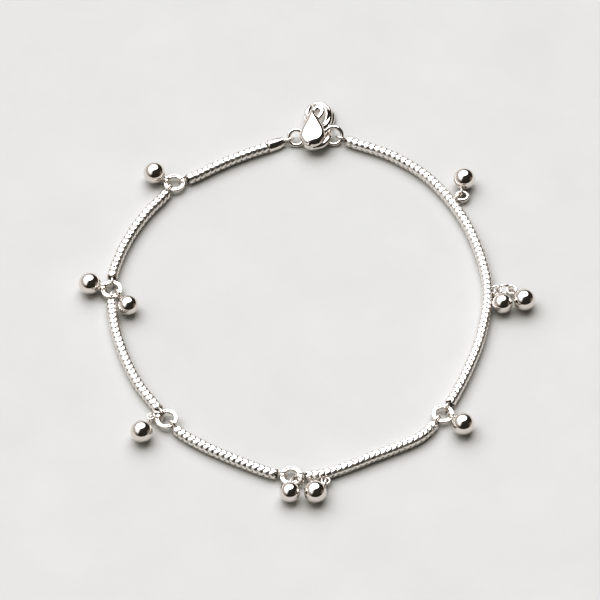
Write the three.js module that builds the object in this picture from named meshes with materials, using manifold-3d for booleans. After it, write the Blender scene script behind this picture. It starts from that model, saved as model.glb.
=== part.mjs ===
// Payal anklet: six lengths of square woven silver chain joined by thick polished rings into one loop,
// ten ball drops on soldered eyes, and a lobster clasp with a puffed teardrop front.
// It lies flat on a surface. Millimetres, +X right, +Y away from the viewer, +Z up, surface at z = 0.
import * as THREE from "three";
import { mergeVertices } from "three/addons/utils/BufferGeometryUtils.js";
import Module from "manifold-3d";

const wasm = await Module();
wasm.setup();

// Chain section: a square with its corners cut, which leaves eight sides.
const CHAIN_WIDTH = 2;
const CHAIN_FLAT = 1.06;
const CHAIN_STEP = 3.3;

// Soldered wire eyes on the ends of the chain, wider at the clasp. Each stands clear of the surface.
const EYE_RADIUS = 0.88;
const CLASP_EYE_RADIUS = 1.02;
const EYE_WIRE = 0.22;
const EYE_HEIGHT = 1.11;

// Sides of the round shapes.
const WIRE_SIDES = 6;
const RING_SIDES = 16;
const EYE_SIDES = 12;
const BALL_SIDES = 16;
const BALL_BANDS = 12;

// Rings. Lift is how steeply a ring is tilted, and toward is the compass side that is lifted, in degrees.
const RINGS = [
  {
    name: "ring_upper_left", x: -25.48, y: 27.73, z: 1.06,
    radius: 1.7, wire: 0.5, lift: 0, toward: 0,
  },
  {
    name: "ring_left", x: -36.98, y: 1.71, z: 1.06,
    radius: 1.7, wire: 0.5, lift: 0, toward: 0,
  },
  {
    name: "ring_lower_left", x: -26.01, y: -28.95, z: 1.27,
    radius: 1.74, wire: 0.46, lift: 6, toward: 28,
  },
  {
    name: "ring_bottom", x: -2.94, y: -41.91, z: 1.06,
    radius: 1.7, wire: 0.5, lift: 0, toward: 0,
  },
  {
    name: "ring_lower_right", x: 25.19, y: -27.67, z: 1.06,
    radius: 1.7, wire: 0.5, lift: 0, toward: 0,
  },
  {
    name: "jump_ring_lower_left", x: -27.9, y: -28.55, z: 1.3,
    radius: 1.12, wire: 0.23, lift: 70, toward: 70,
  },
  {
    name: "jump_ring_bottom", x: -1.56, y: -43.06, z: 1.22,
    radius: 1.05, wire: 0.23, lift: 70, toward: 50,
  },
  {
    name: "jump_ring_right_inner", x: 37.29, y: 1.5, z: 1.45,
    radius: 1.2, wire: 0.24, lift: 90, toward: 90,
  },
  {
    name: "jump_ring_right_outer", x: 38.72, y: 1.6, z: 1.15,
    radius: 0.9, wire: 0.27, lift: 0, toward: 0,
  },
  {
    name: "jump_ring_upper_right", x: 29.83, y: 24.62, z: 0.98,
    radius: 1.05, wire: 0.38, lift: 0, toward: 0,
  },
  {
    name: "clasp_ring_left", x: -2.05, y: 38.93, z: 1.31,
    radius: 1.5, wire: 0.38, lift: 38, toward: 90,
  },
  {
    name: "clasp_ring_right", x: 5.15, y: 39.35, z: 1.42,
    radius: 1.7, wire: 0.36, lift: 38, toward: 90,
  },
];

// Loops soldered to the outer edge of a chain, which carry the drops where the chain runs on unbroken.
const SIDE_LOOPS = [
  {
    name: "loop_bottom", chain: "chain_bottom_right",
    x: 3.4, y: -42.9, z: 1.05, radius: 0.75, lift: 0, toward: 0,
  },
  {
    name: "loop_right", chain: "chain_right",
    x: 35.8, y: 1.6, z: 1.05, radius: 0.95, lift: 0, toward: 0,
  },
  {
    name: "loop_upper_right", chain: "chain_right",
    x: 28.93, y: 24.06, z: 0.98, radius: 0.71, lift: 90, toward: 122,
  },
];

// Drops: where the ball lies, the ring or loop that its eye holds, on which side of that ring, and
// which way the upright eye points, both as compass angles in degrees.
const DROPS = [
  {
    name: "drop_upper_left", x: -29.36, y: 29.4, ball: 2.1,
    holds: "ring_upper_left", side: 157, aim: 157, eye: 0.88,
  },
  {
    name: "drop_left_outer", x: -41.1, y: 2.34, ball: 2.1,
    holds: "ring_left", side: 165, aim: 172, eye: 0.88,
  },
  {
    name: "drop_left_inner", x: -33.7, y: -2.74, ball: 1.93,
    holds: "ring_left", side: -42, aim: -56, eye: 0.88,
  },
  {
    name: "drop_lower_left", x: -30.61, y: -32.44, ball: 2.1,
    holds: "jump_ring_lower_left", side: 188, aim: -112, eye: 0.68,
  },
  {
    name: "drop_bottom_left", x: -3.16, y: -46.14, ball: 1.93,
    holds: "ring_bottom", side: -93, aim: -93, eye: 0.88,
  },
  {
    name: "drop_bottom_right", x: 1.48, y: -46.2, ball: 2.1,
    holds: "loop_bottom", side: -95, aim: -97, eye: 0.88,
  },
  {
    name: "drop_lower_right", x: 28.87, y: -30.73, ball: 2.1,
    holds: "ring_lower_right", side: -22, aim: -40, eye: 0.88,
  },
  {
    name: "drop_right_inner", x: 36.85, y: -2.33, ball: 1.93,
    holds: "loop_right", side: -110, aim: -88, eye: 0.88,
  },
  {
    name: "drop_right_outer", x: 41, y: -1.56, ball: 2.1,
    holds: "jump_ring_right_outer", side: -45, aim: -60, eye: 0.72,
  },
  {
    name: "drop_upper_right", x: 30.25, y: 27.95, ball: 2.1,
    holds: "jump_ring_upper_right", side: 95, aim: 88, eye: 0.72,
  },
];

// Chain lengths, each from one ring to the next by way of points on its middle line.
const CHAINS = [
  {
    name: "chain_upper_left",
    from: "clasp_ring_left",
    to: "ring_upper_left",
    via: [[-5.5, 37.65], [-9.8, 35.85], [-14.1, 33.8], [-18.3, 31.4], [-21.8, 29.2]],
  },
  {
    name: "chain_left_upper",
    from: "ring_upper_left",
    to: "ring_left",
    via: [[-27.5, 24.4], [-30.3, 20.75], [-32.8, 16.6], [-34.8, 12.2], [-36.3, 7.6], [-36.8, 5.3]],
  },
  {
    name: "chain_left_lower",
    from: "ring_left",
    to: "ring_lower_left",
    via: [[-36.9, -2.1], [-36.2, -6.9], [-35, -11.6], [-33.5, -16.1], [-31.5, -20.6], [-28.9, -24.7]],
  },
  {
    name: "chain_bottom_left",
    from: "ring_lower_left",
    to: "ring_bottom",
    via: [[-23.5, -31.95], [-19.65, -34.7], [-15.5, -37.05], [-11.2, -39.2], [-6.8, -41.15]],
  },
  {
    name: "chain_bottom_right",
    from: "ring_bottom",
    to: "ring_lower_right",
    via: [[0.9, -41.85], [3.2, -41.4], [7.7, -39.6], [12, -37.5], [16.3, -35.5], [20.5, -33.25],
      [22.4, -31.5]],
  },
  {
    name: "chain_right",
    from: "ring_lower_right",
    to: "clasp_ring_right",
    via: [[27, -24.35], [29, -20], [30.75, -15.5], [32.25, -11], [33.3, -6.3], [34, -1.6], [34.1, 3.2],
      [33.4, 8], [32.25, 12.6], [30.7, 17.1], [28.6, 21.5], [26.1, 25.5], [23.2, 29.2], [19.7, 32.3],
      [15.65, 35], [11.2, 36.95], [9, 37.8]],
  },
];

// Clasp body. The teardrop is given by its outline at its widest level, above the rings that it holds.
const TEARDROP_LEVEL = 2.75;
const TEARDROP_RISE = 1.25;
const TEARDROP_DROP = 0.9;
const TEARDROP_MIDDLE = [1.2, 38.9];
const TEARDROP_OUTLINE = [[0.93, 44.9], [0.45, 43.6], [0, 42.3], [-0.55, 41], [-1.1, 39.7], [-1.4, 38.3],
  [-1.05, 36.9], [-0.1, 35.95], [1.2, 35.62], [2.4, 35.95], [3.3, 36.9], [3.65, 38.3], [3.35, 39.9],
  [2.65, 41.6], [1.8, 43.4]];
const BULGES = [
  { x: 1.3, y: 38.8, z: 1.7, rx: 1.4, ry: 2.2, rz: 1.1 },
  { x: 1.35, y: 37.2, z: 1.75, rx: 2.2, ry: 1.6, rz: 1.4 },
];
const BOSS = { x: 0.43, y: 36, z: 2.7, radius: 0.55 };
const TAIL_EYE = { radius: 0.7, wire: 0.25 };

// Bars of the clasp: rows of x, y, z and radius along each bar's middle line.
const HOOK = [[2.3, 40.2, 1.7, 0.8], [3.7, 42, 1.15, 0.95], [4.4, 44.3, 1, 0.95], [4.05, 46.4, 1, 0.85],
  [2.9, 47.55, 1, 0.7], [1.62, 47.6, 1, 0.5]];
const LIMB = [[4.3, 42, 1.3, 0.36], [4.38, 40.6, 1.35, 0.36], [4.33, 39.3, 1.42, 0.36],
  [4.2, 38.2, 1.5, 0.36], [3.6, 37.1, 1.65, 0.4], [2.5, 36.6, 2.1, 0.5]];
const NECK_LOOP = [[1.9, 42.2, 2.75, 0.45], [2.65, 43.3, 2.75, 0.5], [3, 44.4, 2.75, 0.5],
  [2.5, 45.25, 2.75, 0.52], [1.75, 44.95, 2.75, 0.38], [1.42, 44.2, 2.75, 0.28], [1.6, 43.3, 2.75, 0.3]];
const LUG = [[0.08, 43.75, 2.2, 0.36], [1.1, 42.9, 2.6, 0.42]];
const LEVER_BAR = [[0.05, 43.75, 1.1, 0.48], [0.1, 45.3, 1.1, 0.5], [0.6, 46.8, 1.1, 0.45]];

// Hinge of the lever: upright pin, its foot, and the lever's eye around it.
const PIN = { x: 0.05, y: 43.75, radius: 0.26, bottom: 0.25, top: 2.2, foot: 0.46, footTop: 0.4 };
const LEVER_EYE = { radius: 0.62, hole: 0.34, bottom: 0.5, top: 1.7 };

const silver = () => new THREE.MeshStandardMaterial({ color: 0xdcdbd8, metalness: 1, roughness: 0.1 });
const woven = () => new THREE.MeshStandardMaterial({ color: 0xd2d0cc, metalness: 1, roughness: 0.35 });
const radians = THREE.MathUtils.degToRad;
const up = new THREE.Vector3(0, 0, 1);

// A closed three.js geometry as a solid for joins and cuts, and a solid as a geometry.
function solid(geometry) {
  const bare = geometry.clone();
  bare.deleteAttribute("normal");
  bare.deleteAttribute("uv");
  const merged = mergeVertices(bare, 1e-4);
  return new wasm.Manifold(new wasm.Mesh({
    numProp: 3,
    vertProperties: merged.attributes.position.array,
    triVerts: new Uint32Array(merged.index.array),
  }));
}

function geometryOf(body) {
  const mesh = body.getMesh();
  const geometry = new THREE.BufferGeometry();
  geometry.setAttribute("position", new THREE.BufferAttribute(mesh.vertProperties, 3));
  geometry.setIndex(new THREE.BufferAttribute(mesh.triVerts, 1));
  return geometry;
}

function joined(geometries) {
  return geometries.map(solid).reduce((whole, next) => whole.add(next));
}

// A level direction at a compass angle.
function heading(degrees) {
  return new THREE.Vector3(Math.cos(radians(degrees)), Math.sin(radians(degrees)), 0);
}

// A round wire ring about an axis.
function wireRing(centre, axis, radius, wire, sides) {
  const geometry = new THREE.TorusGeometry(radius, wire, WIRE_SIDES, sides);
  geometry.applyQuaternion(new THREE.Quaternion().setFromUnitVectors(up, axis));
  return geometry.translate(centre.x, centre.y, centre.z);
}

// A ring or loop of the tables with its centre and its axis.
function placed(ring) {
  const axis = heading(ring.toward).multiplyScalar(-Math.sin(radians(ring.lift)));
  axis.z = Math.cos(radians(ring.lift));
  return { ...ring, centre: new THREE.Vector3(ring.x, ring.y, ring.z), axis };
}

const holders = Object.fromEntries([...RINGS, ...SIDE_LOOPS].map((ring) => [ring.name, placed(ring)]));

// Where an eye holds a ring on one side: the middle of the ring's wire there, and the wire's direction.
function holdOn(ring, side) {
  const outward = side.clone().addScaledVector(ring.axis, -side.dot(ring.axis)).normalize();
  const at = ring.centre.clone().addScaledVector(outward, ring.radius);
  const wireDirection = new THREE.Vector3().crossVectors(ring.axis, outward);
  return { at, wireDirection };
}

// A closed surface through rows of points, with a point at each end. The rows turn to the left
// when seen from the last one.
function loft(rows, first, last) {
  const points = [...rows.flat(), first, last];
  const sides = rows[0].length;
  const firstIndex = points.length - 2;
  const lastIndex = points.length - 1;
  const lastRow = (rows.length - 1) * sides;
  const faces = [];
  for (let k = 0; k < sides; k += 1) {
    const next = (k + 1) % sides;
    faces.push(firstIndex, next, k);
    faces.push(lastIndex, lastRow + k, lastRow + next);
    for (let row = 0; row < lastRow; row += sides) {
      faces.push(row + k, row + next, row + sides + k);
      faces.push(row + next, row + sides + next, row + sides + k);
    }
  }
  const geometry = new THREE.BufferGeometry().setFromPoints(points);
  geometry.setIndex(faces);
  return geometry;
}

// A round bar whose thickness changes along a smooth line, with rounded ends.
function bar(stations, steps = 10, sides = 8) {
  const line = new THREE.CatmullRomCurve3(stations.map(([x, y, z]) => new THREE.Vector3(x, y, z)));
  const size = new THREE.CatmullRomCurve3(stations.map((station) => new THREE.Vector3(station[3], 0, 0)));
  const frames = line.computeFrenetFrames(steps, false);
  const row = (step, along, shrink) => {
    const t = line.getUtoTmapping(step / steps);
    const radius = size.getPoint(t).x;
    const centre = line.getPoint(t).addScaledVector(frames.tangents[step], along * radius);
    return Array.from({ length: sides }, (_, k) => centre.clone()
      .addScaledVector(frames.normals[step], radius * shrink * Math.cos((2 * Math.PI * k) / sides))
      .addScaledVector(frames.binormals[step], radius * shrink * Math.sin((2 * Math.PI * k) / sides)));
  };
  const rows = [row(0, -0.7, 0.7)];
  for (let step = 0; step <= steps; step += 1) {
    rows.push(row(step, 0, 1));
  }
  rows.push(row(steps, 0.7, 0.7));
  return loft(rows, row(0, -1, 0)[0], row(steps, 1, 0)[0]);
}

function upright(x, y, radius, bottom, top, sides) {
  const geometry = new THREE.CylinderGeometry(radius, radius, top - bottom, sides);
  return geometry.rotateX(Math.PI / 2).translate(x, y, (top + bottom) / 2);
}

const anklet = new THREE.Group();

function addPiece(name, geometry, material) {
  const mesh = new THREE.Mesh(geometry, material);
  mesh.name = name;
  anklet.add(mesh);
}

for (const { name } of RINGS) {
  const ring = holders[name];
  addPiece(name, wireRing(ring.centre, ring.axis, ring.radius, ring.wire, RING_SIDES), silver());
}

// Drops: the ball, the upright eye around the ring's wire, and a short neck where they are apart.
for (const drop of DROPS) {
  const { at, wireDirection } = holdOn(holders[drop.holds], heading(drop.side));
  const aim = heading(drop.aim);
  const axis = wireDirection.addScaledVector(aim, -wireDirection.dot(aim)).normalize();
  at.z = Math.max(at.z, drop.eye * Math.hypot(axis.x, axis.y) + EYE_WIRE + 0.01);
  const centre = new THREE.Vector3(drop.x, drop.y, drop.ball);
  const ball = new THREE.SphereGeometry(drop.ball, BALL_SIDES, BALL_BANDS);
  ball.rotateX(Math.PI / 2).translate(centre.x, centre.y, centre.z);
  const eye = wireRing(at, axis, drop.eye, EYE_WIRE, EYE_SIDES);
  const pieces = [ball, eye];
  const rim = at.clone().addScaledVector(aim, drop.eye);
  if (rim.distanceTo(centre) > drop.ball - EYE_WIRE) {
    const inner = rim.clone().lerp(centre, 0.5);
    pieces.push(bar([[...rim, EYE_WIRE], [...inner, EYE_WIRE], [...centre, EYE_WIRE]], 2));
  }
  addPiece(drop.name, geometryOf(joined(pieces)), silver());
}

// Chain lengths: a tube from ring to ring, the eye at each end, and its side loops.
const half = CHAIN_WIDTH / 2;
const flat = CHAIN_FLAT / 2;
const section = new THREE.Shape([[half, -flat], [half, flat], [flat, half], [-flat, half],
  [-half, flat], [-half, -flat], [-flat, -half], [flat, -half]].map(([x, y]) => new THREE.Vector2(x, y)));

for (const chain of CHAINS) {
  const points = chain.via.map(([x, y]) => new THREE.Vector3(x, y, half));
  const ends = [[chain.from, points[0]], [chain.to, points[points.length - 1]]].map(([name, point]) => {
    const ring = holders[name];
    const side = new THREE.Vector3(point.x - ring.x, point.y - ring.y, 0).normalize();
    const hold = holdOn(ring, side);
    const at = hold.at.setZ(Math.max(hold.at.z, EYE_HEIGHT));
    const radius = name.startsWith("clasp") ? CLASP_EYE_RADIUS : EYE_RADIUS;
    const tubeEnd = at.clone().addScaledVector(side, radius).setZ(half);
    return { tubeEnd, eye: wireRing(at, hold.wireDirection, radius, EYE_WIRE, EYE_SIDES) };
  });
  const route = new THREE.CatmullRomCurve3([ends[0].tubeEnd, ...points, ends[1].tubeEnd]);
  const steps = Math.round(route.getLength() / CHAIN_STEP);
  const tube = new THREE.ExtrudeGeometry(section, { steps, bevelEnabled: false, extrudePath: route });
  const loops = SIDE_LOOPS.filter((loop) => loop.chain === chain.name).map(({ name }) => {
    const loop = holders[name];
    return wireRing(loop.centre, loop.axis, loop.radius, EYE_WIRE, EYE_SIDES);
  });
  addPiece(chain.name, geometryOf(joined([tube, ...ends.map((end) => end.eye), ...loops])), woven());
}

// Clasp body, one casting: teardrop, bulges below it, hook, limb, neck loop, tail eye, boss, lug and pin.
const outlinePoints = TEARDROP_OUTLINE.map(([x, y]) => new THREE.Vector3(x, y, 0));
const outline = new THREE.CatmullRomCurve3(outlinePoints, true);
const middle = new THREE.Vector3(...TEARDROP_MIDDLE, TEARDROP_LEVEL);
const teardropRows = [-65, -38, -12, 12, 38, 65].map((turn) => {
  const rise = turn > 0 ? TEARDROP_RISE : TEARDROP_DROP;
  return outline.getPoints(20).slice(0, 20).map((point) => {
    const moved = point.setZ(TEARDROP_LEVEL).lerp(middle, 1 - Math.cos(radians(turn)));
    return moved.setZ(TEARDROP_LEVEL + rise * Math.sin(radians(turn)));
  });
});
const teardrop = loft(
  teardropRows,
  middle.clone().setZ(TEARDROP_LEVEL - TEARDROP_DROP),
  middle.clone().setZ(TEARDROP_LEVEL + TEARDROP_RISE),
);
const bulges = BULGES.map((bulge) => new THREE.SphereGeometry(1, 14, 10)
  .scale(bulge.rx, bulge.rz, bulge.ry)
  .rotateX(Math.PI / 2)
  .translate(bulge.x, bulge.y, bulge.z));
const boss = new THREE.SphereGeometry(BOSS.radius, 10, 8).translate(BOSS.x, BOSS.y, BOSS.z);
const tailHold = holdOn(holders.clasp_ring_left, heading(0));
const tailEye = wireRing(tailHold.at, tailHold.wireDirection, TAIL_EYE.radius, TAIL_EYE.wire, EYE_SIDES);
const pin = upright(PIN.x, PIN.y, PIN.radius, PIN.bottom, PIN.top, 10);
const pinFoot = upright(PIN.x, PIN.y, PIN.foot, PIN.bottom - 0.15, PIN.footTop, 12);
addPiece("clasp_body", geometryOf(joined([teardrop, ...bulges, boss, bar(HOOK, 12, 10), bar(LIMB),
  bar(NECK_LOOP, 14), tailEye, bar(LUG, 3), pin, pinFoot])), silver());

// Clasp lever: a curved bar with the eye that turns on the pin.
const leverSolid = joined([bar(LEVER_BAR), upright(PIN.x, PIN.y, LEVER_EYE.radius, LEVER_EYE.bottom,
  LEVER_EYE.top, 14)]);
const leverHole = solid(upright(PIN.x, PIN.y, LEVER_EYE.hole, 0, 3, 14));
addPiece("clasp_lever", geometryOf(leverSolid.subtract(leverHole)), silver());

// The origin is the middle of the whole box, on the surface.
const box = new THREE.Box3().setFromObject(anklet);
anklet.position.set(-(box.min.x + box.max.x) / 2, -(box.min.y + box.max.y) / 2, -box.min.z);

export default anklet;
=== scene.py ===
# Payal anklet: silver foxtail chain, thick station rings, ball drops and a lobster clasp,
# laid in a closed loop on a pale board under one large softbox. Metres, in the frame of the solids.
import math

import bmesh
import bpy
import numpy as np
from mathutils import Matrix, Vector


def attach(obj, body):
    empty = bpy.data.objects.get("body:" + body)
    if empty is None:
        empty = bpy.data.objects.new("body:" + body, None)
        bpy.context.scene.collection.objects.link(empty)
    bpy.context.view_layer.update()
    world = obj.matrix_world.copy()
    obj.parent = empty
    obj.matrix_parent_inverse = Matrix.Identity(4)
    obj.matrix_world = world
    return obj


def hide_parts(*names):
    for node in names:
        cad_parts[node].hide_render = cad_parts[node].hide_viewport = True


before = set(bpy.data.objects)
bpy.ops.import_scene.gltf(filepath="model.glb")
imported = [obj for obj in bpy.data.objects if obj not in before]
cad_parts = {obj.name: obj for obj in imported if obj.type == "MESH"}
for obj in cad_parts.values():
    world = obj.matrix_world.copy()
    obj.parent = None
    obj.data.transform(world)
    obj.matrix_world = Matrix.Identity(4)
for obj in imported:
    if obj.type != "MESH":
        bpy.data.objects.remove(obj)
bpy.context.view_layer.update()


# The board that the anklet lies on: matt pale grey paint, with faint cloudy
# patches and a very fine tooth. It is a stage, wide enough to fill low views.
def linear(colour):
    """An sRGB hex colour, such as "E8E8E5", as linear red, green, blue and alpha."""
    parts = [int(colour[k:k + 2], 16) / 255 for k in (0, 2, 4)]
    return (*[c / 12.92 if c <= 0.04045 else ((c + 0.055) / 1.055) ** 2.4 for c in parts], 1)


def add_node(tree, kind, inputs=None, **settings):
    """A new node with its settings; inputs gives a value or another node's output by socket."""
    node = tree.nodes.new(kind)
    for name, value in settings.items():
        setattr(node, name, value)
    for socket, value in (inputs or {}).items():
        if isinstance(value, bpy.types.NodeSocket):
            tree.links.new(value, node.inputs[socket])
        else:
            node.inputs[socket].default_value = value
    return node


def new_material(name):
    """An empty node material, its tree and the Object coordinates."""
    material = bpy.data.materials.new(name)
    material.use_nodes = True
    material.node_tree.nodes.clear()
    place = add_node(material.node_tree, "ShaderNodeTexCoord").outputs["Object"]
    return material, material.node_tree, place


painted_board, tree, place = new_material("matt_painted_board")
clouds = add_node(tree, "ShaderNodeTexNoise", {"Vector": place, "Scale": 55, "Detail": 6, "Roughness": 0.6})
tone = add_node(tree, "ShaderNodeMapRange", {
    "Value": clouds.outputs["Fac"], "From Min": 0.3, "From Max": 0.7, "To Min": 0, "To Max": 1})
paint = add_node(tree, "ShaderNodeMix", {
    "Factor": tone.outputs["Result"], 6: linear("C1C0BE"), 7: linear("C6C5C3")}, data_type="RGBA")
tooth = add_node(tree, "ShaderNodeTexNoise", {"Vector": place, "Scale": 1400, "Detail": 3})
tooth_bump = add_node(tree, "ShaderNodeBump", {
    "Height": tooth.outputs["Fac"], "Strength": 0.15, "Distance": 0.00005})
board_paint = add_node(tree, "ShaderNodeBsdfPrincipled", {
    "Base Color": paint.outputs[2], "Roughness": 0.75, "Normal": tooth_bump.outputs["Normal"]})
add_node(tree, "ShaderNodeOutputMaterial", {"Surface": board_paint.outputs["BSDF"]})

BOARD_HALF = 6
BOARD_TOP = -0.00002  # a hair below the solids, so that no faces share a plane
board_mesh = bpy.data.meshes.new("board")
board_mesh.from_pydata(
    [(x * BOARD_HALF, y * BOARD_HALF, BOARD_TOP) for x, y in ((-1, -1), (1, -1), (1, 1), (-1, 1))],
    [], [(0, 1, 2, 3)])
board_mesh.materials.append(painted_board)
board = bpy.data.objects.new("board", board_mesh)
bpy.context.collection.objects.link(board)


# Rings: five thick station rings of doubled wire, small jump rings and the two rings of the
# clasp. Sterling silver wire, soldered shut and polished to a mirror.
MM = 0.001
polished_silver, tree, place = new_material("mirror_polished_sterling_silver")
# Hand polishing leaves very fine rouge haze, so the mirror is a little softer in patches.
haze = add_node(tree, "ShaderNodeTexNoise", {"Vector": place, "Scale": 420, "Detail": 4})
gloss = add_node(tree, "ShaderNodeMapRange", {
    "Value": haze.outputs["Fac"], "From Min": 0.35, "From Max": 0.7, "To Min": 0.035, "To Max": 0.1})
warmth = add_node(tree, "ShaderNodeMix", {
    "Factor": haze.outputs["Fac"], 6: linear("EFEAE6"), 7: linear("E9E3DE")}, data_type="RGBA")
# Hairline scratches of about 0.02 mm are too fine to show, so the waves are 0.3 mm long.
waves = add_node(tree, "ShaderNodeTexNoise", {"Vector": place, "Scale": 3000, "Detail": 1})
dents = add_node(tree, "ShaderNodeBump", {
    "Height": waves.outputs["Fac"], "Strength": 0.05, "Distance": 0.00002})
mirror = add_node(tree, "ShaderNodeBsdfPrincipled", {
    "Base Color": warmth.outputs[2], "Metallic": 1, "Roughness": gloss.outputs["Result"],
    "Normal": dents.outputs["Normal"]})
add_node(tree, "ShaderNodeOutputMaterial", {"Surface": mirror.outputs["BSDF"]})

RINGS = {  # centre, axis, radius to the middle of the wire, wire radius, all in mm
    "ring_upper_left": ((-25.43, 27.759, 1.06), (0, 0, 1), 1.7, 0.5),
    "ring_left": ((-36.93, 1.739, 1.06), (0, 0, 1), 1.7, 0.5),
    "ring_lower_left": ((-25.96, -28.921, 1.27), (-0.092, -0.049, 0.995), 1.74, 0.46),
    "ring_bottom": ((-2.89, -41.881, 1.06), (0, 0, 1), 1.7, 0.5),
    "ring_lower_right": ((25.24, -27.641, 1.06), (0, 0, 1), 1.7, 0.5),
    "jump_ring_lower_left": ((-27.85, -28.521, 1.3), (-0.321, -0.883, 0.342), 1.12, 0.23),
    "jump_ring_bottom": ((-1.51, -43.031, 1.22), (-0.604, -0.72, 0.342), 1.05, 0.23),
    "jump_ring_right_inner": ((37.34, 1.529, 1.45), (0, -1, 0), 1.2, 0.24),
    "jump_ring_right_outer": ((38.77, 1.629, 1.15), (0, 0, 1), 0.9, 0.27),
    "jump_ring_upper_right": ((29.88, 24.649, 0.98), (0, 0, 1), 1.05, 0.38),
    "clasp_ring_left": ((-2, 38.959, 1.31), (0, -0.616, 0.788), 1.5, 0.38),
    "clasp_ring_right": ((5.2, 39.379, 1.42), (0, -0.616, 0.788), 1.7, 0.36),
}


# The thick station rings, of a wire radius above this, are two coils soldered side by side.
# Each coil's place and radius, and how much it is drawn up, are shares of the ring's half width.
DOUBLED_ABOVE = 0.45
COIL_OFFSET, COIL_WIRE, COIL_HEIGHT = 0.44, 0.5, 1.35
COIL_SIDES = 40


def doubled_section():
    """The outline of two round wires side by side, places out and up in half widths."""
    outline = []
    for k in range(COIL_SIDES):
        b = math.tau * k / COIL_SIDES
        beyond = math.sqrt(COIL_WIRE ** 2 - (COIL_OFFSET * math.sin(b)) ** 2)
        reach = COIL_OFFSET * abs(math.cos(b)) + beyond
        outline.append((reach * math.cos(b), reach * math.sin(b) * COIL_HEIGHT))
    return outline


def wire_ring(bm, centre, axis, radius, wire, around=72, sides=20, section=None):
    """A wire ring about an axis, in the units of its numbers, round or with its section given
    as places out and up in half widths."""
    section = section or [
        (math.cos(b), math.sin(b)) for b in (math.tau * j / sides for j in range(sides))]
    turn = Vector(axis).to_track_quat("Z", "X").to_matrix()
    rows = []
    for k in range(around):
        a = math.tau * k / around
        out = Vector((math.cos(a), math.sin(a), 0))
        rows.append([bm.verts.new(Vector(centre) + turn @ (
            out * (radius + wire * x) + Vector((0, 0, wire * y)))) for x, y in section])
    for k in range(around):
        skin(bm, rows[k], rows[(k + 1) % around])


def skin(bm, row, other):
    """Faces between two closed rows of vertices."""
    for j in range(len(row)):
        n = (j + 1) % len(row)
        bm.faces.new((row[j], other[j], other[n], row[n]))


def finished_piece(name, bm, materials, slot_name, body, *nodes):
    """A smooth mesh object in metres from a bmesh in mm, riding on its body in a node's stead."""
    bmesh.ops.recalc_face_normals(bm, faces=bm.faces)
    bm.transform(Matrix.Scale(MM, 4))
    mesh = bpy.data.meshes.new(name)
    bm.to_mesh(mesh)
    bm.free()
    mesh.shade_smooth()
    for material in materials:
        mesh.materials.append(material)
    piece = bpy.data.objects.new(name, mesh)
    bpy.context.collection.objects.link(piece)
    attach(piece, body)
    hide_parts(*nodes)
    return piece


for node, (centre, axis, radius, wire) in RINGS.items():
    bm = bmesh.new()
    section = doubled_section() if wire > DOUBLED_ABOVE else None
    wire_ring(bm, centre, axis, radius, wire, section=section)
    finished_piece(node + "_round", bm, [polished_silver], "polished_silver", "anklet", node)


# Drops: hollow polished balls, each on a soldered eye of round wire with a short neck that
# is drowned in solder where it meets the ball.
EYE_WIRE = 0.22
DROPS = {  # centre, ball radius, eye's centre, eye's axis, eye's radius
    "drop_upper_left": ((-29.31, 29.429, 2.1), 2.1, (-26.995, 28.423, 1.11), (-0.391, -0.921, 0), 0.88),
    "drop_left_outer": ((-41.05, 2.369, 2.1), 2.1, (-38.572, 2.179, 1.11), (-0.139, -0.99, 0), 0.88),
    "drop_left_inner": ((-33.65, -2.711, 1.93), 1.93, (-35.667, 0.601, 1.11), (0.829, 0.559, 0), 0.88),
    "drop_lower_left": (
        (-30.56, -32.411, 2.1), 2.1, (-28.909, -28.209, 1.112), (0.187, -0.076, -0.979), 0.68),
    "drop_bottom_left": ((-3.11, -46.111, 1.93), 1.93, (-2.979, -43.579, 1.11), (0.999, -0.052, 0), 0.88),
    "drop_bottom_right": ((1.53, -46.171, 2.1), 2.1, (3.385, -43.619, 1.11), (0.993, -0.122, 0), 0.88),
    "drop_lower_right": ((28.92, -30.701, 2.1), 2.1, (26.816, -28.278, 1.11), (0.643, 0.766, 0), 0.88),
    "drop_right_inner": ((36.9, -2.301, 1.93), 1.93, (35.525, 0.736, 1.11), (0.999, 0.035, 0), 0.88),
    "drop_right_outer": ((41.05, -1.531, 2.1), 2.1, (39.406, 0.992, 1.15), (0.866, 0.5, 0), 0.72),
    "drop_upper_right": ((30.3, 27.979, 2.1), 2.1, (29.788, 25.695, 0.98), (-0.999, 0.035, 0), 0.72),
}


def smooth_line(points, steps, closed=False):
    """Rows along the smooth line through the given rows of x, y, z and further columns."""
    rows = [np.array(point, float) for point in points]
    if closed:
        rows = [rows[-1], *rows, *rows[:2]]
    else:
        rows = [2 * rows[0] - rows[1], *rows, 2 * rows[-1] - rows[-2]]
    line = []
    for quad in zip(rows, rows[1:], rows[2:], rows[3:]):
        knots = np.cumsum([0] + [
            np.linalg.norm((q - p)[:3]) ** 0.5 + 1e-9 for p, q in zip(quad, quad[1:])])
        for t in np.linspace(knots[1], knots[2], steps, endpoint=False):
            level = list(quad)
            for reach in (1, 2, 3):
                level = [level[k] + (level[k + 1] - level[k]) * (t - knots[k + first])
                         / (knots[k + last] - knots[k + first])
                         for k in range(len(level) - 1)
                         for first, last in [((0, 1), (0, 2), (1, 2))[reach - 1]]]
            line.append(level[0])
    if not closed:
        line.append(rows[-2])
    return line


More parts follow.
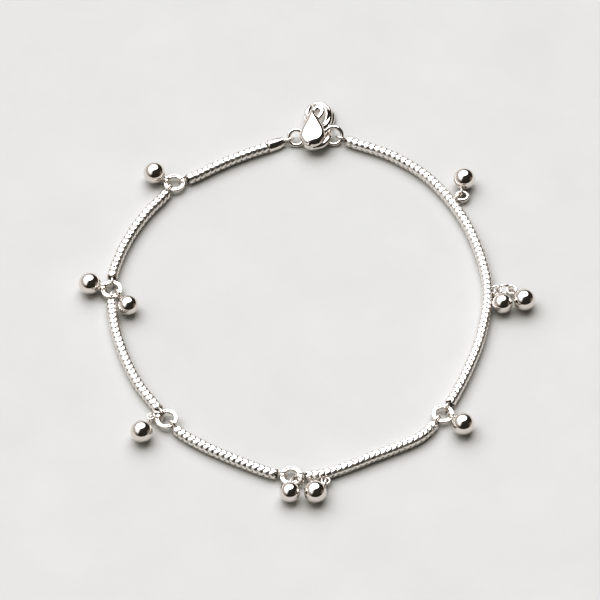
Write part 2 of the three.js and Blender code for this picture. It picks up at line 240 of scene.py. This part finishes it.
def tapered_wire(bm, stations, steps=6, sides=20):
    """A round bar along a smooth line of x, y, z and radius, with domed ends."""
    line = smooth_line(stations, steps)
    centres = [Vector(row[:3]) for row in line]
    radii = [row[3] for row in line]
    tangents = [(centres[min(k + 1, len(line) - 1)] - centres[max(k - 1, 0)]).normalized()
                for k in range(len(line))]
    side = tangents[0].orthogonal().normalized()
    sections = []
    for centre, radius, tangent in zip(centres, radii, tangents):
        side = (side - tangent * side.dot(tangent)).normalized()
        sections.append((centre, radius, side, tangent.cross(side), tangent))
    dome = [math.radians(a) for a in (80, 60, 40, 20)]
    ends = []
    for which, sign, angles in ((0, -1, dome), (-1, 1, dome[::-1])):
        centre, radius, side, other, tangent = sections[which]
        ends.append([(centre + tangent * (sign * radius * math.sin(a)), radius * math.cos(a), side, other,
                      tangent) for a in angles])
    rows = [[bm.verts.new(centre + (side * math.cos(b) + other * math.sin(b)) * radius)
             for b in (math.tau * j / sides for j in range(sides))]
            for centre, radius, side, other, tangent in ends[0] + sections + ends[1]]
    for row, following in zip(rows, rows[1:]):
        skin(bm, row, following)
    bm.faces.new(rows[0])
    bm.faces.new(rows[-1][::-1])


for node, (centre, ball, eye, axis, eye_radius) in DROPS.items():
    bm = bmesh.new()
    middle = Vector(centre)
    toward = Vector((*(middle - Vector(eye)).xy, 0)).normalized()
    rim = Vector(eye) + toward * eye_radius
    pole = (rim - middle).normalized()
    turn = pole.to_track_quat("Z", "X").to_matrix().to_4x4()
    bmesh.ops.create_uvsphere(
        bm, u_segments=64, v_segments=40, radius=ball, matrix=Matrix.Translation(middle) @ turn)
    wire_ring(bm, eye, axis, eye_radius, EYE_WIRE, 48, 14)
    neck = [(rim, EYE_WIRE), (middle + pole * ball, EYE_WIRE * 1.25),
            (middle + pole * ball * 0.9, EYE_WIRE * 2)]
    tapered_wire(bm, [(*point, radius) for point, radius in neck], 5, 14)
    finished_piece(node + "_round", bm, [polished_silver], "polished_silver", "anklet", node)


# Chain: square foxtail, woven from folded links of soft silver wire whose arms meet in a V
# along the middle of every face, with a soldered eye at each end; a dark core inside gives painted shade in
# the gaps.
woven_silver, tree, place = new_material("drawn_silver_wire")
# Drawn wire keeps die lines and small dents, so it is brighter and duller in patches.
wear = add_node(tree, "ShaderNodeTexNoise", {"Vector": place, "Scale": 900, "Detail": 3})
sheen = add_node(tree, "ShaderNodeMapRange", {
    "Value": wear.outputs["Fac"], "From Min": 0.3, "From Max": 0.7, "To Min": 0.2, "To Max": 0.4})
wire_tone = add_node(tree, "ShaderNodeMix", {
    "Factor": wear.outputs["Fac"], 6: linear("FBF7F4"), 7: linear("F1ECE8")}, data_type="RGBA")
die_lines = add_node(tree, "ShaderNodeBump", {
    "Height": wear.outputs["Fac"], "Strength": 0.2, "Distance": 0.00004})
wire_metal = add_node(tree, "ShaderNodeBsdfPrincipled", {
    "Base Color": wire_tone.outputs[2], "Metallic": 1, "Roughness": sheen.outputs["Result"],
    "Normal": die_lines.outputs["Normal"]})
add_node(tree, "ShaderNodeOutputMaterial", {"Surface": wire_metal.outputs["BSDF"]})

painted_shade_core, tree, place = new_material("dark_core_painted_shade")
# A dark core runs inside the links. Its dark brown-grey, mottled at random, is painted shade that shows in
# the gaps between them.
painted_shade_mottle = add_node(tree, "ShaderNodeTexNoise", {"Vector": place, "Scale": 1200, "Detail": 2})
painted_shade_tone = add_node(tree, "ShaderNodeMix", {
    "Factor": painted_shade_mottle.outputs["Fac"], 6: linear("3A3632"), 7: linear("5E5852")}, data_type="RGBA")
painted_shade_metal = add_node(tree, "ShaderNodeBsdfPrincipled", {
    "Base Color": painted_shade_tone.outputs[2], "Metallic": 0.6, "Roughness": 0.5})
add_node(tree, "ShaderNodeOutputMaterial", {"Surface": painted_shade_metal.outputs["BSDF"]})

LINK_PITCH = 1.15
LINK_PLAY = 0.03  # how far a link may sit turned, in radians
# Half width of the dark core, a solid bar inside the links whose dark colour is painted shade in the gaps.
CORE_HALF = 0.56
CORE_OUTLINE = [(1, -0.7), (1, 0.7), (0.7, 1), (-0.7, 1), (-1, 0.7), (-1, -0.7), (-0.7, -1), (0.7, -1)]
ROUTES = {  # points on the chain's middle line
    "chain_upper_left": [(-4.396, 38.272), (-5.45, 37.679), (-9.75, 35.879), (-14.05, 33.829),
                         (-18.25, 31.429), (-21.75, 29.229), (-23.034, 28.716)],
    "chain_left_upper": [(-26.768, 25.553), (-27.45, 24.429), (-30.25, 20.779), (-32.75, 16.629),
                         (-34.75, 12.229), (-36.25, 7.629), (-36.75, 5.329), (-36.801, 4.315)],
    "chain_left_lower": [(-36.876, -0.841), (-36.85, -2.071), (-36.15, -6.871), (-34.95, -11.571),
                         (-33.45, -16.071), (-31.45, -20.571), (-28.85, -24.671), (-27.431, -26.754)],
    "chain_bottom_left": [(-24.282, -30.933), (-23.45, -31.921), (-19.6, -34.671), (-15.45, -37.021),
                          (-11.15, -39.171), (-6.75, -41.121), (-5.421, -41.383)],
    "chain_bottom_right": [(-0.31, -41.841), (0.95, -41.821), (3.25, -41.371), (7.75, -39.571),
                           (12.05, -37.471), (16.35, -35.471), (20.55, -33.221), (22.45, -31.471),
                           (23.721, -29.727)],
    "chain_right": [(26.475, -25.376), (27.05, -24.321), (29.05, -19.971), (30.8, -15.471),
                    (32.3, -10.971), (33.35, -6.271), (34.05, -1.571), (34.15, 3.229), (33.45, 8.029),
                    (32.3, 12.629), (30.75, 17.129), (28.65, 21.529), (26.15, 25.529), (23.25, 29.229),
                    (19.75, 32.329), (15.7, 35.029), (11.25, 36.979), (9.05, 37.829), (7.767, 38.593)],
}
LOOPS = {  # centre, axis and radius of each chain's end eyes and side loops
    "chain_upper_left": [((-3.44, 38.627, 1.11), (0.281, -0.756, -0.591), 1.02),
                         ((-23.851, 28.389, 1.11), (-0.371, 0.929, 0), 0.88)],
    "chain_left_upper": [((-26.312, 26.305, 1.11), (0.855, -0.519, 0), 0.88),
                         ((-36.845, 3.436, 1.11), (-0.999, 0.05, 0), 0.88)],
    "chain_left_lower": [((-36.894, 0.039, 1.11), (1, 0.021, 0), 0.88),
                         ((-26.937, -27.481, 1.25), (-0.822, -0.559, -0.104), 0.88)],
    "chain_bottom_left": [((-24.847, -30.258, 1.307), (0.763, 0.638, 0.102), 0.88),
                          ((-4.558, -41.553, 1.11), (-0.193, -0.981, 0), 0.88)],
    "chain_bottom_right": [((-1.19, -41.855, 1.11), (-0.016, 1, 0), 0.88),
                           ((24.239, -29.015, 1.11), (0.808, -0.589, 0), 0.88),
                           ((3.45, -42.871, 1.05), (0, 0, 1), 0.75)],
    "chain_right": [((26.054, -26.149, 1.11), (-0.878, 0.479, 0), 0.88),
                    ((6.82, 38.974, 1.11), (0.302, 0.751, 0.587), 1.02),
                    ((35.85, 1.629, 1.05), (0, 0, 1), 0.95),
                    ((28.98, 24.089, 0.98), (0.53, -0.848, 0), 0.71)],
}
# One link as a closed band round the square: at the middle of a face, at an arm of the V and
# at a corner. Columns are the band's middle from the axis, its place along the chain, its half
# width along the chain and its thickness.
LINK_FACE = (0.76, 0.2, 0.47, 0.24)
LINK_ARM = (0.8, 0, 0.82, 0.26)
LINK_CORNER = (0.84, -0.2, 0.5, 0.25)
# The band's section, as parts of its half width and of its thickness.
LINK_SECTION = ((-1, 0.2), (-0.8, 0.8), (0, 1), (0.8, 0.8), (1, 0.2))


def foxtail_link():
    """One woven link about the origin, along X, in metres."""
    bm = bmesh.new()
    rows = []
    for k, (out, along, half_width, thick) in enumerate([LINK_FACE, LINK_ARM, LINK_CORNER, LINK_ARM] * 4):
        a = math.tau * k / 16
        rows.append([bm.verts.new((
            along + x * half_width,
            (out + r * thick) * math.cos(a),
            (out + r * thick) * math.sin(a))) for x, r in LINK_SECTION])
    for k in range(16):
        skin(bm, rows[k], rows[(k + 1) % 16])
    bmesh.ops.recalc_face_normals(bm, faces=bm.faces)
    bm.transform(Matrix.Scale(MM, 4))
    mesh = bpy.data.meshes.new("foxtail_link")
    bm.to_mesh(mesh)
    bm.free()
    mesh.shade_smooth()
    return bpy.data.objects.new("foxtail_link", mesh)


def link_tree():
    """Geometry Nodes that lay the links along a line of edges at an even pitch."""
    tree = bpy.data.node_groups.new("foxtail_links_along_a_line", "GeometryNodeTree")
    for name, kind in (("Line", "Geometry"), ("Link", "Object"), ("Count", "Int"), ("Play", "Float"),
                       ("Seed", "Int"), ("Wire", "Material")):
        tree.interface.new_socket(name, in_out="INPUT", socket_type="NodeSocket" + kind)
    tree.interface.new_socket("Chain", in_out="OUTPUT", socket_type="NodeSocketGeometry")
    given = add_node(tree, "NodeGroupInput").outputs
    line = add_node(tree, "GeometryNodeMeshToCurve", {"Mesh": given["Line"]})
    spaced = add_node(tree, "GeometryNodeResampleCurve", {
        "Curve": line.outputs["Curve"], "Count": given["Count"]}, mode="COUNT")
    tangent = add_node(tree, "GeometryNodeInputTangent")
    facing = add_node(tree, "FunctionNodeAxesToRotation", {
        "Primary Axis": tangent.outputs["Tangent"], "Secondary Axis": (0, 0, 1)},
        primary_axis="X", secondary_axis="Z")
    link = add_node(tree, "GeometryNodeObjectInfo", {"Object": given["Link"]})
    laid = add_node(tree, "GeometryNodeInstanceOnPoints", {
        "Points": spaced.outputs["Curve"], "Instance": link.outputs["Geometry"],
        "Rotation": facing.outputs["Rotation"]})
    least = add_node(tree, "ShaderNodeMath", {0: given["Play"], 1: -1}, operation="MULTIPLY")
    turn = add_node(tree, "FunctionNodeRandomValue", {
        "Min": least.outputs[0], "Max": given["Play"], "Seed": given["Seed"]}, data_type="FLOAT_VECTOR")
    loose = add_node(tree, "GeometryNodeRotateInstances", {
        "Instances": laid.outputs["Instances"], "Rotation": turn.outputs["Value"]})
    real = add_node(tree, "GeometryNodeRealizeInstances", {"Geometry": loose.outputs["Instances"]})
    silvered = add_node(tree, "GeometryNodeSetMaterial", {
        "Geometry": real.outputs["Geometry"], "Material": given["Wire"]})
    add_node(tree, "NodeGroupOutput", {"Chain": silvered.outputs["Geometry"]})
    return tree


def swept_bar(bm, line, halves, outline):
    """A bar along a level line of points in mm, with its half width at each point, and an
    outline in half widths, across and up."""
    rows = []
    for k, (centre, half) in enumerate(zip(line, halves)):
        along = (line[min(k + 1, len(line) - 1)] - line[max(k - 1, 0)]).normalized()
        across = Vector((-along.y, along.x, 0))
        rows.append([bm.verts.new(centre + across * x * half + Vector((0, 0, z * half)))
                     for x, z in outline])
    for row, following in zip(rows, rows[1:]):
        skin(bm, row, following)
    bm.faces.new(rows[0])
    bm.faces.new(rows[-1][::-1])


def inset_line(line, inset):
    """The line of points without the given length at each end."""
    for end in ("first", "last"):
        left = inset
        while len(line) > 2 and (line[1] - line[0]).length < left:
            left -= (line[1] - line[0]).length
            line = line[1:]
        line = [line[0] + (line[1] - line[0]).normalized() * left, *line[1:]][::-1]
    return line


# Half the length of a link, so that the end links stop where the soldered eyes begin.
END_LINK_INSET = 0.8
link = foxtail_link()
bpy.context.collection.objects.link(link)
weave = link_tree()
sockets = {item.name: item.identifier for item in weave.interface.items_tree}
CHAIN_LEVEL = 1
# A folded cap of sheet silver closes one end: its length, and its half width at tip and mouth.
END_CAPS = {"chain_upper_left": 3.9}
CAP_TIP, CAP_MOUTH = 0.66, 0.98
CAP_OUTLINE = [(1, -0.84), (1, 0), (0.2, 1), (-0.84, 1), (-1, 0.84), (-1, -0.84), (-0.84, -1),
               (0.84, -1)]
for seed, (node, route) in enumerate(ROUTES.items()):
    line = [Vector(row) for row in smooth_line([(x, y, CHAIN_LEVEL) for x, y in route], 8)]
    capped = [point for point in line if (point - line[0]).length < END_CAPS.get(node, 0)]
    core, line = line, line[max(len(capped) - 1, 0):]
    line = inset_line(line, END_LINK_INSET)
    length = sum((b - a).length for a, b in zip(line, line[1:]))
    path = bpy.data.meshes.new(node + "_path")
    path.from_pydata([point * MM for point in line], [(k, k + 1) for k in range(len(line) - 1)], [])
    runner = bpy.data.objects.new(node + "_path", path)
    bpy.context.collection.objects.link(runner)
    laying = runner.modifiers.new("links", "NODES")
    laying.node_group = weave
    laying[sockets["Link"]] = link
    laying[sockets["Count"]] = round(length / LINK_PITCH) + 1
    laying[sockets["Play"]] = LINK_PLAY
    laying[sockets["Seed"]] = seed
    laying[sockets["Wire"]] = woven_silver
    laid = bpy.data.meshes.new_from_object(
        runner.evaluated_get(bpy.context.evaluated_depsgraph_get()))
    bpy.data.objects.remove(runner)

    bm = bmesh.new()
    bm.from_mesh(laid)
    bm.transform(Matrix.Scale(1 / MM, 4))
    woven_faces = len(bm.faces)
    # The dark core along the chain, under the links: painted shade in the gaps.
    swept_bar(bm, core, [CORE_HALF] * len(core), CORE_OUTLINE)
    core_faces = len(bm.faces)
    if capped:
        swept_bar(bm, capped, np.linspace(CAP_TIP, CAP_MOUTH, len(capped)), CAP_OUTLINE)
    for centre, axis, radius in LOOPS[node]:
        wire_ring(bm, centre, axis, radius, EYE_WIRE, 40, 12)
    bm.faces.ensure_lookup_table()
    # The dark core takes the painted shade material; the cap and the eyes take the polished silver.
    for k in range(woven_faces, len(bm.faces)):
        bm.faces[k].material_index = 1 if k < core_faces else 2
    for k in range(woven_faces):
        bm.faces[k].material_index = 0
    finished_piece(node + "_woven", bm, [woven_silver, painted_shade_core, polished_silver],
                   "woven_silver", "anklet", node)
bpy.data.objects.remove(link)


# Clasp body: a lobster claw cast in one piece of silver, tumbled until its edges are soft.
# A puffed teardrop faces the viewer, and hook, limb, neck loop, tail eye, lug and pin run into it.
TEARDROP_LEVEL, TEARDROP_RISE, TEARDROP_DROP = 2.75, 1.25, 0.9
TEARDROP_FULLNESS = 0.5
TEARDROP_MIDDLE = Vector((1.25, 38.929, TEARDROP_LEVEL))
TEARDROP_OUTLINE = [(0.93, 44.9), (0.45, 43.6), (0, 42.3), (-0.55, 41), (-1.1, 39.7), (-1.4, 38.3),
                    (-1.05, 36.9), (-0.1, 35.95), (1.2, 35.62), (2.4, 35.95), (3.3, 36.9), (3.65, 38.3),
                    (3.35, 39.9), (2.65, 41.6), (1.8, 43.4)]
CLASP_SHIFT = Vector((0.05, 0.029, 0))
CLASP_BARS = {
    "hook": [(2.3, 40.2, 1.7, 0.8), (3.7, 42, 1.15, 0.8), (4.35, 44.3, 1, 0.7), (4.05, 46.3, 1, 0.65),
             (2.9, 47.5, 1, 0.6), (1.62, 47.6, 1, 0.5)],
    "limb": [(4.2, 42, 1.3, 0.45), (4.42, 40.5, 1.32, 0.4), (4.48, 39.3, 1.6, 0.5), (4.2, 38.1, 2.05, 0.62),
             (3.55, 37, 2.15, 0.62), (2.5, 36.2, 2.15, 0.62), (1.4, 36, 2.1, 0.55)],
    "neck_loop": [(1.9, 42.2, 2.75, 0.5), (2.65, 43.3, 2.75, 0.58), (3, 44.4, 2.75, 0.6),
                  (2.5, 45.25, 2.75, 0.6), (1.75, 45.05, 2.75, 0.48), (1.3, 44.25, 2.75, 0.4),
                  (1.45, 43.3, 2.75, 0.4)],
    "lug": [(0.08, 43.75, 2.25, 0.5), (1.1, 42.9, 2.6, 0.5)],
    "pin": [(0.05, 43.75, 0.5, 0.26), (0.05, 43.75, 2.1, 0.26)],
    "pin_foot": [(0.05, 43.75, 0.3, 0.3), (0.05, 43.75, 0.33, 0.3)],
    "boss": [(0.43, 36, 2.7, 0.55), (0.43, 36.05, 2.72, 0.55)],
}
CLASP_BULGES = [((1.3, 38.8, 1.7), (1.4, 2.2, 1.1)), ((1.35, 37.2, 1.75), (2.2, 1.6, 1.4))]
# The hook's broad back slopes outwards from a high inner edge: places and half widths.
HOOK_BAND = [(3.4, 41.5, 1.1, 0.7), (4.05, 43, 1, 0.86), (4.3, 44.6, 0.98, 0.92),
             (3.95, 46.1, 0.95, 0.86), (3.1, 47.05, 0.95, 0.7), (2, 47.4, 0.95, 0.5)]
HOOK_OUTLINE = [(0.7, -0.6), (0.8, 0.9), (0.6, 1.2), (0.35, 1.18), (-1.15, 0.05), (-1.35, -0.3),
                (-1.1, -0.75)]
# The eye at the tail that the left clasp ring passes through: centre, axis, radius, wire radius.
TAIL_EYE = ((-0.5, 38.959, 1.31), (0, 0.788, 0.616), 0.7, 0.25)
CAST_GRAIN = 0.07
SOFTENING = 7

bm = bmesh.new()
outline = [Vector((*row[:2], TEARDROP_LEVEL)) + CLASP_SHIFT
           for row in smooth_line([(x, y, 0) for x, y in TEARDROP_OUTLINE], 5, closed=True)]
rows = []
for turn in (-85, -75, -60, -45, -30, -15, 0, 15, 30, 45, 60, 75, 85):
    rise = TEARDROP_RISE if turn > 0 else TEARDROP_DROP
    height = Vector((0, 0, rise * math.sin(math.radians(turn))))
    spread = math.cos(math.radians(turn)) ** TEARDROP_FULLNESS
    rows.append([bm.verts.new(TEARDROP_MIDDLE.lerp(point, spread) + height)
                 for point in outline])
for row, following in zip(rows, rows[1:]):
    skin(bm, row, following)
bm.faces.new(rows[0])
bm.faces.new(rows[-1][::-1])
for centre, (rx, ry, rz) in CLASP_BULGES:
    place = Matrix.Translation(Vector(centre) + CLASP_SHIFT) @ Matrix.Diagonal((rx, ry, rz, 1))
    bmesh.ops.create_uvsphere(bm, u_segments=32, v_segments=20, radius=1, matrix=place)
hook_line = smooth_line(HOOK_BAND, 5)
swept_bar(bm, [Vector(row[:3]) + CLASP_SHIFT for row in hook_line],
          [row[3] for row in hook_line], HOOK_OUTLINE)
for stations in CLASP_BARS.values():
    tapered_wire(bm, [(x + CLASP_SHIFT.x, y + CLASP_SHIFT.y, z, r) for x, y, z, r in stations], 8, 24)
wire_ring(bm, *TAIL_EYE, 48, 16)
bmesh.ops.recalc_face_normals(bm, faces=bm.faces)
mesh = bpy.data.meshes.new("clasp_casting")
bm.to_mesh(mesh)
bm.free()
casting = bpy.data.objects.new("clasp_casting", mesh)
bpy.context.collection.objects.link(casting)
fuse = casting.modifiers.new("fuse", "REMESH")
fuse.mode = "VOXEL"
fuse.voxel_size = CAST_GRAIN
fuse.use_smooth_shade = True
tumble = casting.modifiers.new("tumble", "SMOOTH")
tumble.factor = 0.5
tumble.iterations = SOFTENING
fused = bpy.data.meshes.new_from_object(
    casting.evaluated_get(bpy.context.evaluated_depsgraph_get()))
bpy.data.objects.remove(casting)
bm = bmesh.new()
bm.from_mesh(fused)
finished_piece("clasp_body_cast", bm, [polished_silver], "polished_silver", "anklet", "clasp_body")


# Clasp lever: a small curved finger with a bush that turns on the rivet; the thumb opens it
# against a spring that doesn't show.
LEVER_PIN = (0.1, 43.779)
LEVER_BAR = [(0.1, 44.64, 1.15, 0.54), (0.14, 45.4, 1.25, 0.6), (0.65, 46.83, 1.15, 0.48)]
# The bush's half section: distance from the pin's axis, and height.
BUSH = [(0.34, 0.56), (0.4, 0.5), (0.54, 0.5), (0.62, 0.58), (0.62, 1.62), (0.54, 1.7),
        (0.4, 1.7), (0.34, 1.64)]
BUSH_SIDES = 40
bm = bmesh.new()
rows = [[bm.verts.new((LEVER_PIN[0] + out * math.cos(a), LEVER_PIN[1] + out * math.sin(a), z))
         for out, z in BUSH] for a in (math.tau * k / BUSH_SIDES for k in range(BUSH_SIDES))]
for row, following in zip(rows, rows[1:] + rows[:1]):
    skin(bm, row, following)
tapered_wire(bm, LEVER_BAR, 8, 24)
finished_piece("clasp_lever_cast", bm, [polished_silver], "polished_silver", "lever", "clasp_lever")


# Light: one large softbox overhead, from the left and behind, with a weaker panel in front of it
# and dim spill round it, in a dark room with a pale wall on the left. All are drawn on the sky.
# Corners are on a ceiling 1 m up: x to the right, y away from the viewer.
SPILL = [(0, 0.1), (0.55, 1.5), (0.45, 2.5), (-0.9, 3.3), (-2.8, 1.6), (-2.9, -0.3), (-2.1, -1.6),
         (-1.3, -1.9), (-0.62, -1.05)]
FRONT_PANEL = [(0, 0.1), (-1.7, 0.8), (-1.65, -0.6), (-1.05, -1.2), (-0.62, -1), (-0.4, -0.52),
               (-0.22, -0.15)]
MAIN_PANEL = [(-0.22, -0.15), (0.02, -0.1), (0.2, -0.02), (0.41, 0.12), (0.63, 0.4), (0.75, 0.78),
              (0.7, 1.3), (0.48, 1.8), (-0.85, 1.9), (-1.7, 0.5)]
# Each panel with its light: linear red, green, blue and alpha.
SOFTBOX_PANELS = [(SPILL, (0.7, 0.705, 0.71, 1)), (FRONT_PANEL, (1.36, 1.37, 1.38, 1)),
                  (MAIN_PANEL, (3.82, 3.84, 3.87, 1))]
EDGE_SOFTNESS = 0.05
# Patches of the room: compass angle from the right, angle from straight up, inner and outer
# angular radius, and colour.
ROOM_PATCHES = [(150, 80, 25, 92, "C2BCB8"), (352, 84, 6, 26, "8A7F75")]


def patch(direction, compass, from_top, inner, outer):
    """1 within the inner angle of a direction and 0 beyond the outer one, in degrees."""
    a, t = math.radians(compass), math.radians(from_top)
    centre = (math.sin(t) * math.cos(a), math.sin(t) * math.sin(a), math.cos(t))
    nearness = add_node(
        tree, "ShaderNodeVectorMath", {0: direction, 1: centre}, operation="DOT_PRODUCT")
    return add_node(tree, "ShaderNodeMapRange", {
        "Value": nearness.outputs["Value"], "From Min": math.cos(math.radians(outer)),
        "From Max": math.cos(math.radians(inner))}, interpolation_type="SMOOTHSTEP").outputs["Result"]


world = bpy.data.worlds.new("dark_room_with_softbox")
world.use_nodes = True
tree = world.node_tree
tree.nodes.clear()
direction = add_node(tree, "ShaderNodeTexCoord").outputs["Generated"]
height = add_node(tree, "ShaderNodeSeparateXYZ", {"Vector": direction})
room_height = add_node(tree, "ShaderNodeMapRange", {
    "Value": height.outputs["Z"], "From Min": 0, "From Max": 0.9})
room = add_node(tree, "ShaderNodeMix", {
    "Factor": room_height.outputs["Result"], 6: linear("2E2824"), 7: linear("3A3938")}, data_type="RGBA")
colour = room.outputs[2]
for compass, from_top, inner, outer, tone in ROOM_PATCHES:
    colour = add_node(tree, "ShaderNodeMix", {
        "Factor": patch(direction, compass, from_top, inner, outer), 6: colour, 7: linear(tone)},
        data_type="RGBA").outputs[2]
for corners, brightness in SOFTBOX_PANELS:
    inside = None
    for (ax, ay), (bx, by) in zip(corners, corners[1:] + corners[:1]):
        normal = Vector((ay - by, bx - ax, 0))
        edge = Vector((normal.x, normal.y, -(normal.x * ax + normal.y * ay))).normalized()
        depth = add_node(tree, "ShaderNodeVectorMath", {0: direction, 1: edge},
                         operation="DOT_PRODUCT").outputs["Value"]
        inside = depth if inside is None else add_node(
            tree, "ShaderNodeMath", {0: inside, 1: depth}, operation="MINIMUM").outputs[0]
    panel = add_node(tree, "ShaderNodeMapRange", {
        "Value": inside, "From Min": -EDGE_SOFTNESS, "From Max": EDGE_SOFTNESS},
        interpolation_type="SMOOTHSTEP")
    colour = add_node(tree, "ShaderNodeMix", {
        "Factor": panel.outputs["Result"], 6: colour, 7: brightness}, data_type="RGBA").outputs[2]
glow = add_node(tree, "ShaderNodeBackground", {"Color": colour, "Strength": 1})
add_node(tree, "ShaderNodeOutputWorld", {"Surface": glow.outputs["Background"]})
bpy.context.scene.world = world


# Camera: a long lens from the front, 52 degrees above the board, as the photograph was taken.
AIM = Vector((-0.00127, 0.00007, 0))
DISTANCE = 0.9459
ELEVATION = math.radians(52)
camera_data = bpy.data.cameras.new("camera")
camera_data.lens = 300
camera_data.sensor_width = 36
camera_data.clip_start = 0.01
camera = bpy.data.objects.new("camera", camera_data)
camera.location = AIM + DISTANCE * Vector((0, -math.cos(ELEVATION), math.sin(ELEVATION)))
camera.rotation_euler = (math.pi / 2 - ELEVATION, 0, 0)
bpy.context.collection.objects.link(camera)
bpy.context.scene.camera = camera
view = bpy.context.scene.view_settings
view.view_transform = "Standard"
# A camera's tone curve deepens the shadows and leaves them a little warm: brightness in and
# out, with everything from UNTOUCHED_ABOVE up as it is.
UNTOUCHED_ABOVE = 0.82
view.use_curve_mapping = True
red, green, blue, combined = view.curve_mapping.curves
TONE_CURVES = [(combined, [(0.24, 0.185), (0.55, 0.51)]), (red, [(0.2, 0.204)]), (blue, [(0.2, 0.188)])]
for curve, points in TONE_CURVES:
    for place_in, place_out in points:
        curve.points.new(place_in, place_out)
    curve.points.new(UNTOUCHED_ABOVE, UNTOUCHED_ABOVE)
view.curve_mapping.update()
